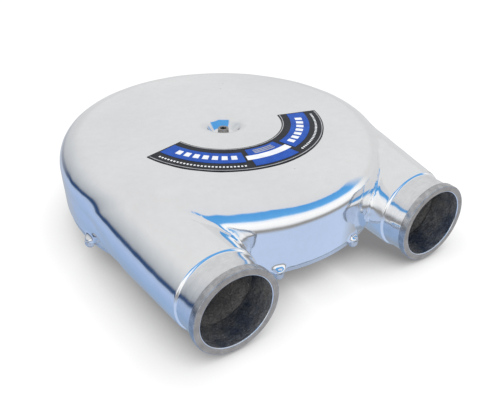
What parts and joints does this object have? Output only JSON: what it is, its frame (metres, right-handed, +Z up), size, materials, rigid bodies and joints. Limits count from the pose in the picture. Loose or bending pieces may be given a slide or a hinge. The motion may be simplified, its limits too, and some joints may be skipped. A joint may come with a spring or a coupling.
{
  "type": "twin-inlet carburettor hat",
  "caption": "Round polished cast carburettor hat with parallel hose necks, a bolted base plate with an air-horn collar, and a centre hold-down nut.",
  "frame": {"origin": "middle of the collar's open lower end, in the plane the hat stands on", "axes": "+Z up along the centre stud, -Y the way the two hose necks point, +X towards the neck that is on the right when the two mouths face the viewer"},
  "size_m": [0.3406, 0.3655, 0.0988],
  "materials": {
    "polished_casting": "hand-polished sand casting, bright outside and rough-cast inside",
    "base_casting": "machined casting",
    "gasket_rubber": "matt black",
    "stud_steel": "black oxide",
    "plated_nut": "zinc plated",
    "plated_steel": "zinc plated",
    "badge_black": "printed film",
    "badge_blue": "printed film",
    "badge_white": "printed film",
    "badge_silver": "metallic printed film"
  },
  "bodies": {
    "hat": {"hat_housing": "polished_casting", "base_plate": "base_casting", "base_gasket": "gasket_rubber", "air_horn_gasket": "gasket_rubber", "centre_stud": "stud_steel", "lower_washer": "plated_steel", "stud_lock_nut": "plated_steel", "badge_backing": "badge_black", "badge_left_panel": "badge_blue", "badge_right_panel": "badge_blue", "badge_middle_panel": "badge_blue", "badge_middle_bar": "badge_white", "badge_trim": "badge_silver", "base_screw_1": "plated_steel", "base_screw_2": "plated_steel", "base_screw_3": "plated_steel", "base_screw_4": "plated_steel", "base_screw_5": "plated_steel", "base_screw_6": "plated_steel", "base_screw_7": "plated_steel", "base_screw_8": "plated_steel", "screw_washer_1": "plated_steel", "screw_washer_2": "plated_steel", "screw_washer_3": "plated_steel", "screw_washer_4": "plated_steel", "screw_washer_5": "plated_steel", "screw_washer_6": "plated_steel", "screw_washer_7": "plated_steel", "screw_washer_8": "plated_steel"},
    "washer": {"sealing_washer": "gasket_rubber"},
    "nut": {"hold_down_nut": "plated_nut"}
  },
  "joints": [
    {"name": "nut_turn", "type": "hinge", "parent": "washer", "child": "nut", "pos_m": [0, 0, 0.088], "axis": [0, 0, 1], "range_deg": [0, 720]},
    {"name": "nut_climb", "type": "slide", "parent": "hat", "child": "washer", "axis": [0, 0, 1], "range_m": [0, 0.00256]}
  ],
  "couplings": [
    {"joint": "nut_climb", "follows": "nut_turn", "m_per_rad": 0.00020213}
  ]
}
